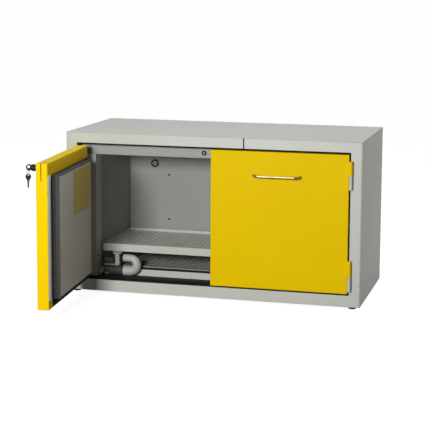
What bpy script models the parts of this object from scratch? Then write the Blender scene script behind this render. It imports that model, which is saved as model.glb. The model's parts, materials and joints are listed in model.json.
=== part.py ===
"""Under-bench flammable storage cabinet, modelled as separate parts. Metres, +Z up.

The front faces -Y and +X is to the right of someone facing it. The origin is the centre of the
underside of the bottom panel, so only the feet reach below z = 0. The left door is modelled
standing open and the right door closed.
"""

import math

import bmesh
import bpy
from mathutils import Matrix

# Driving dimensions of the body
BODY_W = 1.100
BODY_D = 0.500
BODY_H = 0.592
FOOT_DROP = 0.008

SHEET = 0.0015          # steel sheet of the outer skin, the frame and the doors
GAP = 0.0003            # hairline between two parts that touch
THROUGH = 0.004         # how far a cutter runs past the face it opens

HALF_W = BODY_W / 2
FRONT = -BODY_D / 2
BACK = BODY_D / 2
SKIN_X = HALF_W - SHEET - GAP       # outermost reach of what stands inside the side skins
SKIN_Y = BACK - SHEET - GAP
SKIN_Z = BODY_H - SHEET - GAP

# Front frame: two stiles, a top rail in two lengths and a bottom rail
STILE_W = 0.040
RAIL_BOTTOM_H = 0.041
RAIL_TOP_H = 0.039
FRAME_D = 0.100
RAIL_SEAM_X = 0.123
RAIL_SEAM = 0.0020
OPENING_X = HALF_W - STILE_W
OPENING_TOP = BODY_H - RAIL_TOP_H

# Inner frame: jambs, head and sill, set back behind the doors' outer shells
INNER_SETBACK = 0.045
INNER_FRONT = FRONT + INNER_SETBACK
INNER_BACK = FRONT + FRAME_D
INNER_X = 0.452
INNER_TOP = 0.507
SILL_TOP = 0.043

# Compartment
LINING = 0.004
REAR_LINING_Y = FRONT + 0.445
FLOOR_TOP = 0.037
REAR_RAIL_D = 0.068

# Seal that fills the gap round the doors
SEAL_Y = (FRONT + 0.007, INNER_FRONT - 0.0006)
SEAL_SIDE_W = 0.0042
SEAL_TOP_H = 0.0057

# Doors
DOOR_GAP_SIDE = 0.006
DOOR_GAP_MIDDLE = 0.003
DOOR_Z = (0.047, 0.545)
SHELL_D = 0.040
DOOR_D = 0.068
BORDER_TOP = 0.043
BORDER_BOTTOM = 0.031
EDGE_STRIP_W = 0.041
PLUG_Z = (0.080, 0.500)
PLUG_HINGE_INSET = 0.054
DOOR_ROUNDING = 0.002
LEFT_DOOR_OPEN = 85.0
RIGHT_DOOR_OPEN = 0.0
SLIT_W = 0.003
SLIT_H = 0.060
SLIT_DEPTH = 0.015
SLIT_SHARE = 0.45       # distance from the outer face as a share of the shell's depth

# Hinges: the door's knuckle turns on a pin that stands on the frame's knuckle
HINGE_INSET = 0.038
HINGE_PROUD = 0.0075
HINGE_X = HALF_W - HINGE_INSET
HINGE_Y = FRONT - HINGE_PROUD
KNUCKLE_R = 0.0063
KNUCKLE_CHAMFER = 0.001
HINGE_PIN_R = 0.003
TAB_FRONT = 0.0035      # the webs from the knuckles, behind the hinge axis
DOOR_TAB_START = 0.0025
DOOR_TAB_SINK = 0.0035
FRAME_TAB_X = (-0.0035, 0.0015)
TAB_END_GAP = 0.003
HINGE_PIN_LENGTH = 0.040
HINGES = {"lower": (0.057, 0.112, 0.168), "upper": (0.422, 0.471, 0.523)}

# Bow handle
HANDLE_R = 0.0045
HANDLE_Z = 0.459
HANDLE_CENTRE = 0.266   # from the hinge axis
HANDLE_HALF_BAR = 0.073
HANDLE_HALF_FOOT = 0.085
HANDLE_STAND_OFF = 0.030
HANDLE_CORNER = 0.010

# Push lock in the left door
LOCK_X = 0.477          # from the hinge axis
LOCK_Z = 0.526
LOCK_R = 0.0115
LOCK_PROUD = 0.024
LOCK_HEAD = 0.038
LOCK_TRAVEL = 0.006
BOLT_R = 0.0035
PLUG_R = 0.006
PLUG_DEPTH = 0.010
STRIKE_R = 0.0088
STRIKE_HOLE_R = 0.0042
STRIKE_D = 0.004

# Key in the lock, its ring and the spare key
KEY_T = 0.002
KEY_BOW_R = 0.008
KEY_BOW_REACH = 0.0092
KEY_HOLE_R = 0.003
KEY_BLADE_H = 0.007
RING_R = 0.011
RING_WIRE_R = 0.0008
RING_SAG = 0.0018
SPARE_HOLE_R = 0.0026
SPARE_SAG = 0.0014
SPARE_BLADE = 0.034

# Shelf and sump
TRAY_X = 0.449
TRAY_Y = (FRONT + 0.1095, 0.190)
TRAY_Z = (0.0376, 0.0645)
SHELF_Y = (FRONT + 0.101, 0.185)
SHELF_Z = (0.132, 0.150, 0.160)     # lower edge, deck, top of the rim
SUPPORT_D = 0.0157
SUPPORT_H = 0.006
INSERT_X = 0.440
INSERT_Y = (-0.130, 0.182)
INSERT_TOP = 0.0745
INSERT_LIP = 0.0025
STRIP_H = 0.013
STRIP_D = 0.004
SUPPORT_END = 0.020     # how far the shelf's supports stop short of its front and back

# Exhaust fitting in the lower left corner and the ventilation ports
PIPE_Y = -0.1612
PIPE_LOW_R = 0.0188
PIPE_LOW_Z = 0.0624
PIPE_HIGH_R = 0.0138
PIPE_HIGH_Z = 0.1105
BEND_RIGHT = -0.2915
BEND_END_HIGH = -0.3665
VALVE_X = (-0.4212, -0.3590)
VALVE_WEB_X = (-0.418, -0.404)
VALVE_WEB_Y = (-0.1545, -0.1455)
STUB_R = 0.0115
STUB_X = (-0.437, -0.3985)
STUB_Z = 0.0995
SPOOL_X = -0.3845
SPOOL_R = 0.0100
SPOOL_HEAD_R = 0.0178
SPOOL_Z = (0.0816, 0.1312)
SPOOL_PLATE_X = (-0.4345, -0.3745)
SPOOL_PLATE_Y = (-0.1740, -0.1548)
SPOOL_PLATE_Z = (0.0833, 0.0855)
UNION_R = 0.0125
UNION_END = -0.4384
UNION_NECK_R = 0.0076
VENT_X = -0.348
VENT_Z = 0.423
VENT_R = 0.0160
VENT_D = 0.005
SPIGOT_X = -0.400
SPIGOT_Z = 0.150
SPIGOT_R = 0.0375
SPIGOT_WALL = 0.002
SPIGOT_D = 0.025

# Feet
FOOT_X = 0.520
FOOT_FRONT_Y = FRONT + 0.022
FOOT_BACK_Y = 0.214
FOOT_R = 0.0135
STEM_R = 0.0045
STEM_H = 0.024

for old in list(bpy.data.objects):
    bpy.data.objects.remove(old, do_unlink=True)


def material(name, colour, roughness, metallic=0.0):
    made = bpy.data.materials.new(name)
    made.use_nodes = True
    shader = made.node_tree.nodes["Principled BSDF"]
    shader.inputs["Base Color"].default_value = (*colour, 1.0)
    shader.inputs["Roughness"].default_value = roughness
    shader.inputs["Metallic"].default_value = metallic
    return made


GREY_PAINT = material("grey_paint", (0.60, 0.60, 0.56), 0.45)
YELLOW_PAINT = material("yellow_paint", (0.80, 0.56, 0.02), 0.40)
LINING_GREY = material("lining_grey", (0.48, 0.48, 0.46), 0.50)
PANEL_GREY = material("panel_grey", (0.30, 0.31, 0.29), 0.50)
INSULATION = material("insulation", (0.62, 0.60, 0.56), 0.90)
GRAPHITE = material("graphite", (0.035, 0.036, 0.036), 0.70)
BLACK_RUBBER = material("black_rubber", (0.02, 0.02, 0.02), 0.80)
BLACK_PLASTIC = material("black_plastic", (0.025, 0.025, 0.027), 0.45)
DARK_VALVE = material("dark_valve", (0.10, 0.10, 0.10), 0.50)
PIPE_GREY = material("pipe_grey", (0.55, 0.55, 0.53), 0.40)
CHROME = material("chrome", (0.80, 0.80, 0.80), 0.15, 1.0)
STEEL = material("steel", (0.55, 0.55, 0.54), 0.30, 1.0)


def add_object(name, mesh, look, parent=None):
    made = bpy.data.objects.new(name, mesh)
    bpy.context.scene.collection.objects.link(made)
    made.data.materials.append(look)
    made.parent = parent
    return made


def finish_mesh(name, shape, look, parent, smooth):
    bmesh.ops.recalc_face_normals(shape, faces=shape.faces)
    mesh = bpy.data.meshes.new(name)
    shape.to_mesh(mesh)
    shape.free()
    if smooth:
        mesh.shade_smooth()
        mesh.set_sharp_from_angle(angle=math.radians(35))
    return add_object(name, mesh, look, parent)


def box(name, xs, ys, zs, look, parent=None, rounding=0.0):
    """A box between three pairs of limits, with its edges rounded if asked."""
    shape = bmesh.new()
    bmesh.ops.create_cube(shape, size=1.0)
    spans = [max(pair) - min(pair) for pair in (xs, ys, zs)]
    middle = [sum(pair) / 2 for pair in (xs, ys, zs)]
    bmesh.ops.scale(shape, vec=spans, verts=shape.verts)
    bmesh.ops.translate(shape, vec=middle, verts=shape.verts)
    if rounding:
        bmesh.ops.bevel(shape, geom=list(shape.edges), offset=rounding, segments=2,
                        profile=0.5, affect="EDGES")
    return finish_mesh(name, shape, look, parent, smooth=bool(rounding))


AXIS_TURNS = {
    "+Z": Matrix.Identity(4),
    "-Z": Matrix.Rotation(math.pi, 4, "X"),
    "+X": Matrix.Rotation(math.pi / 2, 4, "Y"),
    "-Y": Matrix.Rotation(math.pi / 2, 4, "X"),
    "+Y": Matrix.Rotation(-math.pi / 2, 4, "X"),
}


def turned(name, outline, look, at=(0.0, 0.0, 0.0), axis="+Z", sides=24, parent=None):
    """A turned piece from (radius, height) points; a ring if no point is on the axis."""
    shape = bmesh.new()
    rings = []
    for radius, height in outline:
        if radius == 0.0:
            rings.append([shape.verts.new((0.0, 0.0, height))])
            continue
        angles = [2 * math.pi * step / sides for step in range(sides)]
        rings.append([shape.verts.new((radius * math.cos(a), radius * math.sin(a), height))
                      for a in angles])
    pairs = list(zip(rings, rings[1:]))
    if all(radius > 0.0 for radius, _ in outline):
        pairs.append((rings[-1], rings[0]))
    for first, second in pairs:
        for step in range(sides):
            after = (step + 1) % sides
            corners = [first[step % len(first)], first[after % len(first)],
                       second[after % len(second)], second[step % len(second)]]
            shape.faces.new(list(dict.fromkeys(corners)))
    placing = Matrix.Translation(at) @ AXIS_TURNS[axis]
    bmesh.ops.transform(shape, matrix=placing, verts=shape.verts)
    return finish_mesh(name, shape, look, parent, smooth=True)


def rod_outline(radius, start, end, chamfer=0.0):
    """Outline of a solid rod for turned(), with both rims chamfered if asked."""
    if not chamfer:
        return [(0.0, start), (radius, start), (radius, end), (0.0, end)]
    return [(0.0, start), (radius - chamfer, start), (radius, start + chamfer),
            (radius, end - chamfer), (radius - chamfer, end), (0.0, end)]


def tube(name, points, radii, look, parent=None, resolution=4):
    """A round bar along a run of points, with a radius at each and capped ends."""
    curve = bpy.data.curves.new(name, "CURVE")
    curve.dimensions = "3D"
    curve.bevel_depth = max(radii)
    curve.bevel_resolution = resolution
    curve.use_fill_caps = True
    spline = curve.splines.new("POLY")
    spline.points.add(len(points) - 1)
    for place, point, radius in zip(spline.points, points, radii):
        place.co = (*point, 1.0)
        place.radius = radius / max(radii)
    spline.use_smooth = True
    return add_object(name, curve, look, parent)


def torus(name, centre, radius, wire, look, parent=None, sides=32, wire_sides=8):
    """A closed ring in the plane of X and Z."""
    outline = []
    for step in range(wire_sides):
        angle = 2 * math.pi * step / wire_sides
        outline.append((radius + wire * math.cos(angle), wire * math.sin(angle)))
    return turned(name, outline, look, at=centre, axis="+Y", sides=sides, parent=parent)


def plate(name, outline, thickness, look, parent=None):
    """A flat piece in the plane of Y and Z, centred on x = 0 of its own outline."""
    shape = bmesh.new()
    corners = [shape.verts.new((x - thickness / 2, y, z)) for x, y, z in outline]
    face = shape.faces.new(corners)
    grown = bmesh.ops.extrude_face_region(shape, geom=[face])
    moved = [item for item in grown["geom"] if isinstance(item, bmesh.types.BMVert)]
    bmesh.ops.translate(shape, vec=(thickness, 0.0, 0.0), verts=moved)
    return finish_mesh(name, shape, look, parent, smooth=False)


def helper(tool):
    tool.hide_render = True
    tool.display_type = "WIRE"
    return tool


def boolean(target, tool, operation):
    step = target.modifiers.new(operation.lower(), "BOOLEAN")
    step.operation = operation
    step.solver = "EXACT"
    step.object = helper(tool)
    return target


def cut(target, tool):
    return boolean(target, tool, "DIFFERENCE")


def join(target, tool):
    return boolean(target, tool, "UNION")


def span(sign, near, far):
    """Limits along X between two distances from x = 0, on the side that sign gives."""
    return (min(sign * near, sign * far), max(sign * near, sign * far))


def rectangular_tube(name, xs, ys, zs, along, look, rounding=0.0, capped=False):
    """A sheet-steel box section that is open at both ends, or only at the high end if capped."""
    section = box(name, xs, ys, zs, look, rounding=rounding)
    limits = {"x": xs, "y": ys, "z": zs}
    hollow = {}
    for axis, (low, high) in limits.items():
        inset = -THROUGH if axis == along else SHEET
        hollow[axis] = (low + (SHEET if capped else inset), high - inset)
    bore = box(name + "_hollow", hollow["x"], hollow["y"], hollow["z"], look)
    return cut(section, bore)


def outer_skin():
    box("outer_top", (-HALF_W, HALF_W), (FRONT, BACK), (BODY_H - SHEET, BODY_H),
        GREY_PAINT, rounding=0.0005)
    for side, sign in SIDES:
        box(f"outer_side_{side}", span(sign, HALF_W - SHEET, HALF_W), (FRONT, BACK),
            (0.0, SKIN_Z), GREY_PAINT, rounding=0.0004)
    rear = box("outer_rear", (-SKIN_X, SKIN_X), (BACK - SHEET, BACK), (0.0, SKIN_Z), GREY_PAINT)
    port = turned("rear_port", rod_outline(SPIGOT_R - SPIGOT_WALL, -THROUGH, THROUGH), GREY_PAINT,
                  at=(SPIGOT_X, BACK, SPIGOT_Z), axis="+Y")
    cut(rear, port)
    box("bottom_panel", (-OPENING_X + GAP, OPENING_X - GAP),
        (INNER_FRONT, SKIN_Y - REAR_RAIL_D - GAP), (0.0, SHEET), GREY_PAINT)


def foot_hole(part, sign, y):
    return turned(f"{part.name}_hole_{sign}", rod_outline(STEM_R + GAP, -THROUGH, THROUGH),
                  GREY_PAINT, at=(sign * FOOT_X, y, 0.0), sides=16)


def front_frame():
    frame_y = (FRONT, INNER_BACK - GAP)
    for side, sign in SIDES:
        stile = rectangular_tube(f"front_stile_{side}", span(sign, OPENING_X, SKIN_X), frame_y,
                                 (0.0, SKIN_Z), "z", GREY_PAINT, rounding=0.0006, capped=True)
        cut(stile, foot_hole(stile, sign, FOOT_FRONT_Y))
    rail_z = (OPENING_TOP, SKIN_Z)
    rail_end = OPENING_X - GAP
    rectangular_tube("front_rail_top_left", (-rail_end, RAIL_SEAM_X - RAIL_SEAM / 2), frame_y,
                     rail_z, "x", GREY_PAINT, rounding=0.0006)
    rectangular_tube("front_rail_top_right", (RAIL_SEAM_X + RAIL_SEAM / 2, rail_end), frame_y,
                     rail_z, "x", GREY_PAINT, rounding=0.0006)
    rectangular_tube("front_rail_bottom", (-rail_end, rail_end), (FRONT, INNER_FRONT - GAP),
                     (0.0, RAIL_BOTTOM_H), "x", GREY_PAINT, rounding=0.0006)
    back_rail = rectangular_tube("rear_foot_rail", (-SKIN_X, SKIN_X),
                                 (SKIN_Y - REAR_RAIL_D, SKIN_Y), (0.0, FLOOR_TOP), "x",
                                 GREY_PAINT)
    for _, sign in SIDES:
        cut(back_rail, foot_hole(back_rail, sign, FOOT_BACK_Y))


def inner_frame():
    inner_y = (INNER_FRONT, INNER_BACK - GAP)
    ends = OPENING_X - GAP
    box("sill_board", (-ends, ends), inner_y, (SHEET + GAP, SILL_TOP), GRAPHITE)
    box("inner_rail_top", (-ends, ends), inner_y, (INNER_TOP, OPENING_TOP - GAP), LINING_GREY)
    for side, sign in SIDES:
        box(f"inner_jamb_{side}", span(sign, INNER_X, ends), inner_y,
            (SILL_TOP + GAP, INNER_TOP - GAP), LINING_GREY)


def walls():
    low = FLOOR_TOP + GAP
    high = INNER_TOP - GAP
    behind = INNER_X + LINING + GAP
    box("floor_board", (-SKIN_X, SKIN_X), (INNER_BACK, SKIN_Y - REAR_RAIL_D - GAP),
        (SHEET + GAP, FLOOR_TOP), INSULATION)
    box("ceiling_board", (-behind + GAP, behind - GAP), (INNER_BACK, SKIN_Y),
        (INNER_TOP, SKIN_Z), INSULATION)
    for side, sign in SIDES:
        box(f"insulation_{side}", span(sign, behind, SKIN_X), (INNER_BACK, SKIN_Y),
            (low, SKIN_Z), INSULATION)
        box(f"lining_{side}", span(sign, INNER_X, INNER_X + LINING),
            (INNER_BACK, REAR_LINING_Y + LINING), (low, high), LINING_GREY)
    box("insulation_rear", (-behind + GAP, behind - GAP),
        (REAR_LINING_Y + LINING + GAP, SKIN_Y), (low, high), INSULATION)
    box("lining_rear", (-INNER_X + GAP, INNER_X - GAP),
        (REAR_LINING_Y, REAR_LINING_Y + LINING), (low, high), LINING_GREY)


def door_seal():
    reach = OPENING_X - GAP
    seal = box("door_seal", (-reach, reach), SEAL_Y,
               (RAIL_BOTTOM_H + GAP, OPENING_TOP - GAP), BLACK_RUBBER)
    inside = box("seal_inside", (-reach + SEAL_SIDE_W, reach - SEAL_SIDE_W),
                 (SEAL_Y[0] - THROUGH, SEAL_Y[1] + THROUGH),
                 (RAIL_BOTTOM_H + GAP + SEAL_SIDE_W, OPENING_TOP - GAP - SEAL_TOP_H),
                 BLACK_RUBBER)
    cut(seal, inside)


def shelf():
    low, deck, top = SHELF_Z
    front, back = SHELF_Y
    pan = box("shelf", (-TRAY_X, TRAY_X), SHELF_Y, (low, top), GREY_PAINT, rounding=0.0006)
    inner_x = (-TRAY_X + SHEET, TRAY_X - SHEET)
    inner_y = (front + SHEET, back - SHEET)
    cut(pan, box("shelf_top_hollow", inner_x, inner_y, (deck, top + THROUGH), GREY_PAINT))
    cut(pan, box("shelf_low_hollow", inner_x, inner_y, (low - THROUGH, deck - SHEET), GREY_PAINT))
    for side, sign in SIDES:
        box(f"shelf_support_{side}", span(sign, INNER_X - GAP - SUPPORT_D, INNER_X - GAP),
            (front + SUPPORT_END, back - SUPPORT_END), (low - GAP - SUPPORT_H, low - GAP),
            LINING_GREY)


def sump():
    tray = box("sump_tray", (-TRAY_X, TRAY_X), TRAY_Y, TRAY_Z, GREY_PAINT, rounding=0.0006)
    cut(tray, box("tray_hollow", (-TRAY_X + SHEET, TRAY_X - SHEET),
                  (TRAY_Y[0] + SHEET, TRAY_Y[1] - SHEET),
                  (TRAY_Z[0] + SHEET, TRAY_Z[1] + THROUGH), GREY_PAINT))
    foot_z = TRAY_Z[0] + SHEET + GAP
    insert = box("sump_insert", (-INSERT_X, INSERT_X), INSERT_Y, (foot_z, INSERT_TOP), GREY_PAINT,
                 rounding=0.0005)
    under_x = (-INSERT_X + SHEET, INSERT_X - SHEET)
    cut(insert, box("insert_hollow", under_x, (INSERT_Y[0] + SHEET, INSERT_Y[1] - SHEET),
                    (foot_z - THROUGH, INSERT_TOP - SHEET), GREY_PAINT))
    cut(insert, box("insert_arch", under_x, (INSERT_Y[0] - THROUGH, INSERT_Y[1] + THROUGH),
                    (foot_z - THROUGH, INSERT_TOP - INSERT_LIP), GREY_PAINT))
    strip_top = INSERT_TOP - INSERT_LIP - GAP
    box("sump_insert_strip", (under_x[0] + GAP, under_x[1] - GAP),
        (INSERT_Y[0], INSERT_Y[0] + STRIP_D), (strip_top - STRIP_H, strip_top), BLACK_RUBBER)


def exhaust_fitting():
    """Valve, return bend and flanged spool that draw air off just above the sump."""
    rise = PIPE_HIGH_Z - PIPE_LOW_Z
    middle_z = (PIPE_HIGH_Z + PIPE_LOW_Z) / 2
    bend_x = BEND_RIGHT - (PIPE_LOW_R + PIPE_HIGH_R) / 2 - rise / 2
    path = [(BEND_END_HIGH, PIPE_Y, PIPE_HIGH_Z)]
    steps = 12
    for step in range(steps + 1):
        angle = math.pi / 2 - math.pi * step / steps
        path.append((bend_x + rise / 2 * math.cos(angle), PIPE_Y,
                     middle_z + rise / 2 * math.sin(angle)))
    path.append((VALVE_X[1] + GAP, PIPE_Y, PIPE_LOW_Z))
    last = len(path) - 1
    radii = [PIPE_HIGH_R + (PIPE_LOW_R - PIPE_HIGH_R) * step / last for step in range(last + 1)]
    tube("exhaust_bend", path, radii, PIPE_GREY, resolution=6)

    length = VALVE_X[1] - VALVE_X[0]
    shoulder = 0.003
    valve = turned("exhaust_valve",
                   [(0.0, 0.0), (PIPE_LOW_R * 0.8, 0.0), (PIPE_LOW_R, shoulder),
                    (PIPE_LOW_R, length - 2 * shoulder), (PIPE_LOW_R * 0.9, length - shoulder),
                    (PIPE_LOW_R * 0.8, length), (0.0, length)],
                   DARK_VALVE, at=(VALVE_X[0], PIPE_Y, PIPE_LOW_Z), axis="+X")
    join(valve, box("valve_web", VALVE_WEB_X, VALVE_WEB_Y, (PIPE_LOW_Z, STUB_Z), DARK_VALVE))
    join(valve, turned("valve_stub", rod_outline(STUB_R, 0.0, STUB_X[1] - STUB_X[0], 0.002),
                       DARK_VALVE, at=(STUB_X[0], PIPE_Y, STUB_Z), axis="+X"))

    low, high = SPOOL_Z
    rim = 0.0045
    spool = turned("exhaust_spool",
                   [(0.0, low), (SPOOL_R, low), (SPOOL_R, high - rim - 0.001),
                    (SPOOL_HEAD_R, high - rim), (SPOOL_HEAD_R, high), (0.0, high)],
                   PIPE_GREY, at=(SPOOL_X, PIPE_Y, 0.0))
    join(spool, box("spool_plate", SPOOL_PLATE_X, SPOOL_PLATE_Y, SPOOL_PLATE_Z,
                    PIPE_GREY))
    start = -INNER_X + GAP
    flange, neck = UNION_END - start, VALVE_X[0] - GAP - start
    turned("exhaust_union",
           [(0.0, 0.0), (UNION_R, 0.0), (UNION_R, flange - 0.001), (UNION_R - 0.001, flange),
            (UNION_NECK_R, flange), (UNION_NECK_R, neck), (0.0, neck)],
           CHROME, at=(start, PIPE_Y, PIPE_LOW_Z), axis="+X", sides=24)


def ventilation_ports():
    turned("rear_vent",
           [(0.0, 0.0), (VENT_R, 0.0), (VENT_R, 0.003), (VENT_R - 0.003, VENT_D),
            (VENT_R - 0.007, VENT_D), (VENT_R - 0.008, 0.002), (0.004, 0.002),
            (0.004, VENT_D), (0.0, VENT_D)],
           BLACK_PLASTIC, at=(VENT_X, REAR_LINING_Y - GAP, VENT_Z), axis="-Y")
    inner = SPIGOT_R - SPIGOT_WALL
    flange = SPIGOT_R + 0.012
    turned("exhaust_spigot",
           [(inner, 0.0), (flange, 0.0), (flange, 0.002), (SPIGOT_R, 0.002),
            (SPIGOT_R, SPIGOT_D), (inner, SPIGOT_D)],
           PIPE_GREY, at=(SPIGOT_X, BACK + GAP, SPIGOT_Z), axis="+Y", sides=32)


def feet():
    for end, y in (("front", FOOT_FRONT_Y), ("rear", FOOT_BACK_Y)):
        for side, sign in SIDES:
            turned(f"foot_{end}_{side}",
                   [(0.0, -FOOT_DROP), (FOOT_R - 0.001, -FOOT_DROP), (FOOT_R, -FOOT_DROP + 0.001),
                    (FOOT_R, -0.0015), (FOOT_R - 0.001, -0.0005), (STEM_R, -0.0005),
                    (STEM_R, STEM_H), (0.0, STEM_H)],
                   BLACK_RUBBER, at=(sign * FOOT_X, y, 0.0))


def frame_hinge_halves():
    for side, sign in SIDES:
        for level, (low, split, _) in HINGES.items():
            pin_top = split + HINGE_PIN_LENGTH
            knuckle = turned(f"hinge_{level}_{side}",
                             [(0.0, low), (KNUCKLE_R - KNUCKLE_CHAMFER, low),
                              (KNUCKLE_R, low + KNUCKLE_CHAMFER), (KNUCKLE_R, split - GAP),
                              (HINGE_PIN_R, split - GAP), (HINGE_PIN_R, pin_top),
                              (0.0, pin_top)],
                             GREY_PAINT, at=(sign * HINGE_X, HINGE_Y, 0.0))
            join(knuckle, box(f"{side}_{level}_web",
                              span(sign, HINGE_X - FRAME_TAB_X[1], HINGE_X - FRAME_TAB_X[0]),
                              (HINGE_Y + TAB_FRONT, FRONT - GAP),
                              (low + TAB_END_GAP, split - TAB_END_GAP), GREY_PAINT))


def empty(name, at, turn=0.0):
    made = bpy.data.objects.new(name, None)
    bpy.context.scene.collection.objects.link(made)
    made.location = at
    made.rotation_euler = (0.0, 0.0, turn)
    return made


def door_shell(side, reach, near, far, face, axis):
    """Steel pan of the door with its knuckles, in coordinates of the hinge axis."""
    back = face + SHELL_D
    shell = box(f"door_{side}_shell", span(reach, near, far), (face, back), DOOR_Z,
                YELLOW_PAINT, axis, rounding=DOOR_ROUNDING)
    inside_x = span(reach, near + SHEET, far - SHEET)
    cut(shell, box(f"{side}_pan_hollow", inside_x, (face + SHEET, back - SHEET),
                   (DOOR_Z[0] + SHEET, DOOR_Z[1] - SHEET), YELLOW_PAINT, axis))
    cut(shell, box(f"{side}_pan_mouth", inside_x, (back - 2 * SHEET, back + THROUGH),
                   (DOOR_Z[0] + BORDER_BOTTOM, DOOR_Z[1] - BORDER_TOP), YELLOW_PAINT, axis))
    for level, (_, split, high) in HINGES.items():
        knuckle = turned(f"{side}_{level}_knuckle",
                         [(0.0, split + GAP), (KNUCKLE_R, split + GAP),
                          (KNUCKLE_R, high - KNUCKLE_CHAMFER),
                          (KNUCKLE_R - KNUCKLE_CHAMFER, high), (0.0, high)],
                         YELLOW_PAINT, parent=axis)
        tab = box(f"{side}_{level}_tab", span(reach, DOOR_TAB_START, near + SHEET / 2),
                  (TAB_FRONT, face + DOOR_TAB_SINK), (split + TAB_END_GAP, high - TAB_END_GAP),
                  YELLOW_PAINT, axis)
        socket = turned(f"{side}_{level}_socket",
                        rod_outline(HINGE_PIN_R + GAP, split - THROUGH,
                                    split + HINGE_PIN_LENGTH + 0.001),
                        YELLOW_PAINT, parent=axis)
        join(shell, knuckle)
        join(shell, tab)
        cut(shell, socket)
    return shell


def door_filling(side, reach, near, far, face, axis):
    """Insulating core with its raised plug, the inner panel and the strip beside it."""
    back = face + SHELL_D
    clear = SHEET + GAP
    plug_x = span(reach, near + PLUG_HINGE_INSET, far - EDGE_STRIP_W)
    core = box(f"door_{side}_core", span(reach, near + clear, far - clear),
               (face + clear, back - clear), (DOOR_Z[0] + clear, DOOR_Z[1] - clear),
               GRAPHITE, axis)
    panel_y = face + DOOR_D - SHEET
    join(core, box(f"{side}_plug", plug_x, (back - 2 * SHEET, panel_y - GAP), PLUG_Z,
                   GRAPHITE, axis))
    box(f"door_{side}_inner_panel", plug_x, (panel_y, panel_y + SHEET), PLUG_Z, PANEL_GREY, axis)
    box(f"door_{side}_edge_strip", span(reach, far - EDGE_STRIP_W + GAP, far - clear),
        (back - SHEET, back),
        (DOOR_Z[0] + BORDER_BOTTOM + GAP, DOOR_Z[1] - BORDER_TOP - GAP), LINING_GREY, axis)
    return core


def rounded(points, radius, steps=6):
    """The same run of points with an arc of the given radius at each inner corner."""
    path = [points[0]]
    for before, corner, after in zip(points, points[1:], points[2:]):
        into = [a - b for a, b in zip(corner, before)]
        out = [a - b for a, b in zip(after, corner)]
        into_length = math.dist(corner, before)
        out_length = math.dist(after, corner)
        reach = min(radius, 0.45 * into_length, 0.45 * out_length)
        start = [c - reach * v / into_length for c, v in zip(corner, into)]
        end = [c + reach * v / out_length for c, v in zip(corner, out)]
        for step in range(steps + 1):
            share = step / steps
            path.append([(1 - share) ** 2 * a + 2 * share * (1 - share) * c + share ** 2 * b
                         for a, c, b in zip(start, corner, end)])
    path.append(points[-1])
    return path


def door_handle(side, reach, face, axis):
    bar_y = face - HANDLE_STAND_OFF
    corners = []
    for sign in (-1, 1):
        foot = reach * HANDLE_CENTRE + sign * HANDLE_HALF_FOOT
        bar = reach * HANDLE_CENTRE + sign * HANDLE_HALF_BAR
        leg = [(foot, face - GAP, HANDLE_Z), (foot, face - 0.005, HANDLE_Z),
               (bar, bar_y, HANDLE_Z)]
        corners += leg if sign < 0 else leg[::-1]
    path = rounded(corners, HANDLE_CORNER)
    tube(f"door_{side}_handle", path, [HANDLE_R] * len(path), CHROME, axis)


def door(side, sign, opened):
    """One door on its hinge axis; reach is the direction from the axis to the free edge."""
    reach = -sign
    near = HINGE_X - (OPENING_X - DOOR_GAP_SIDE)
    far = HINGE_X - DOOR_GAP_MIDDLE / 2
    face = HINGE_PROUD
    axis = empty(f"door_{side}_axis", (sign * HINGE_X, HINGE_Y, 0.0),
                 math.radians(-reach * opened))
    shell = door_shell(side, reach, near, far, face, axis)
    core = door_filling(side, reach, near, far, face, axis)
    slit_y = face + SLIT_SHARE * SHELL_D
    slit = box(f"{side}_edge_slit", span(reach, far - SLIT_DEPTH, far + THROUGH),
               (slit_y - SLIT_W / 2, slit_y + SLIT_W / 2),
               (DOOR_Z[1] - SLIT_H, DOOR_Z[1] + THROUGH), YELLOW_PAINT, axis)
    cut(shell, slit)
    cut(core, slit)
    door_handle(side, reach, face, axis)
    return axis, shell, core


def lock(axis, shell, core):
    """Push lock: pressing the head drives the bolt out of the door's back."""
    face = HINGE_PROUD
    head_front = face - LOCK_PROUD
    head_back = head_front + LOCK_HEAD
    bolt_end = face + SHELL_D - SHEET
    at = (LOCK_X, 0.0, LOCK_Z)
    shaft_hole = turned("lock_hole",
                        rod_outline(LOCK_R + GAP, face - THROUGH, head_back + LOCK_TRAVEL + GAP),
                        YELLOW_PAINT, at=at, axis="+Y", parent=axis)
    bolt_hole = turned("bolt_hole", rod_outline(BOLT_R + GAP, face, bolt_end + THROUGH),
                       YELLOW_PAINT, at=at, axis="+Y", sides=16, parent=axis)
    for body in (shell, core):
        cut(body, shaft_hole)
        cut(body, bolt_hole)
    well_r = PLUG_R + GAP
    turned("lock_plunger",
           [(0.0, head_front + PLUG_DEPTH + GAP), (well_r, head_front + PLUG_DEPTH + GAP),
            (well_r, head_front), (LOCK_R - 0.0015, head_front), (LOCK_R, head_front + 0.0015),
            (LOCK_R, head_back), (BOLT_R, head_back), (BOLT_R, bolt_end), (0.0, bolt_end)],
           BLACK_PLASTIC, at=at, axis="+Y", parent=axis)
    plug = turned("lock_plug", rod_outline(PLUG_R, head_front - 0.0006, head_front + PLUG_DEPTH),
                  STEEL, at=at, axis="+Y", parent=axis)
    slot = KEY_T / 2 + GAP
    cut(plug, box("keyway", (LOCK_X - slot, LOCK_X + slot), (head_front - THROUGH,
                  head_front + 0.008), (LOCK_Z - KEY_BLADE_H / 2 - GAP,
                  LOCK_Z + KEY_BLADE_H / 2 + GAP), STEEL, axis))
    return head_front


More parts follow.
